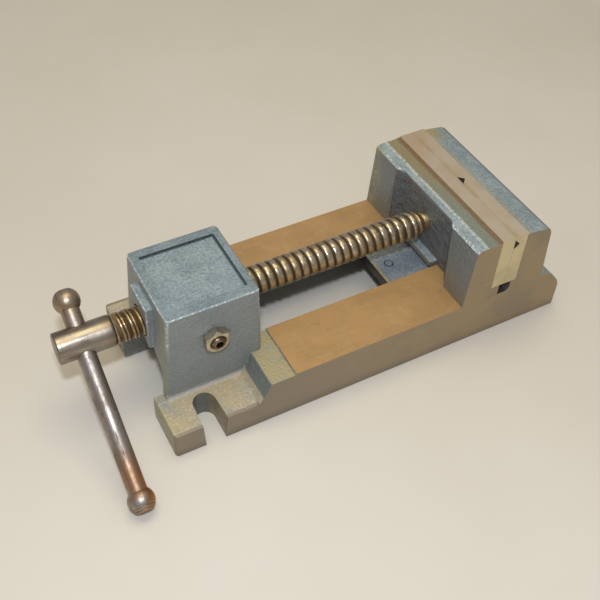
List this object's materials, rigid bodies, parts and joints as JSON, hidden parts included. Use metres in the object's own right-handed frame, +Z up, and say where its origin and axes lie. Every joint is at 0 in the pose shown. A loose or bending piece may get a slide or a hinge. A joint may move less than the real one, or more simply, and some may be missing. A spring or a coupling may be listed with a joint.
{
  "type": "drill press vise",
  "caption": "Low drill-press vise with a flat-way base, screw-driven moving jaw, bare jaw plates with V grooves, and a sliding cross handle.",
  "frame": {"origin": "on the underside of the base, on the centreline, under the plane where the closed jaw faces meet", "axes": "+X along the screw from the handle to the fixed jaw, +Y across the jaws towards the side without the lock nut, +Z up"},
  "size_m": [0.2829, 0.1282, 0.0737],
  "materials": {
    "casting_paint": "blue-grey enamel over rough casting, machined ways bare and tan",
    "guide_paint": "blue-grey enamel",
    "jaw_plate_steel": "ground, light tan oxide",
    "fastener_black": "black oxide",
    "nut_bronze": "machined bronze",
    "set_screw_steel": "brown-black oxide",
    "zinc_nut": "zinc plated, dulled",
    "zinc_washer": "zinc plated",
    "keeper_steel": "plain milled steel",
    "pin_steel": "ground steel",
    "screw_steel": "turned steel, worn bright on the crests, oily brown in the roots",
    "handle_steel": "grey-brown steel with light rust"
  },
  "bodies": {
    "base": {"base_casting": "casting_paint", "fixed_jaw_plate": "jaw_plate_steel", "fixed_plate_screws": "fastener_black", "spindle_nut": "nut_bronze", "nut_set_screw": "set_screw_steel", "nut_lock_nut": "zinc_nut"},
    "jaw": {"moving_jaw": "casting_paint", "moving_jaw_plate": "jaw_plate_steel", "moving_plate_screws": "fastener_black", "guide_block": "guide_paint", "guide_pin": "guide_paint", "keeper_plate": "keeper_steel", "keeper_screws": "fastener_black", "keeper_washers": "zinc_washer", "screw_retaining_pins": "pin_steel", "thrust_button": "pin_steel"},
    "screw": {"lead_screw": "screw_steel"},
    "handle": {"handle_bar": "handle_steel", "handle_knob_upper": "handle_steel", "handle_knob_lower": "handle_steel"}
  },
  "joints": [
    {"name": "jaw_slide", "type": "slide", "parent": "base", "child": "jaw", "axis": [-1, 0, 0], "range_m": [0, 0.1016]},
    {"name": "screw_turn", "type": "hinge", "parent": "jaw", "child": "screw", "pos_m": [-0.1, 0, 0.0517], "axis": [-1, 0, 0], "range_deg": [0, 7200]},
    {"name": "handle_slide", "type": "slide", "parent": "screw", "child": "handle", "axis": [0, -0.848, -0.5299], "range_m": [-0.0682, 0.006]}
  ],
  "couplings": [
    {"joint": "screw_turn", "follows": "jaw_slide", "rad_per_m": 1236.8}
  ]
}
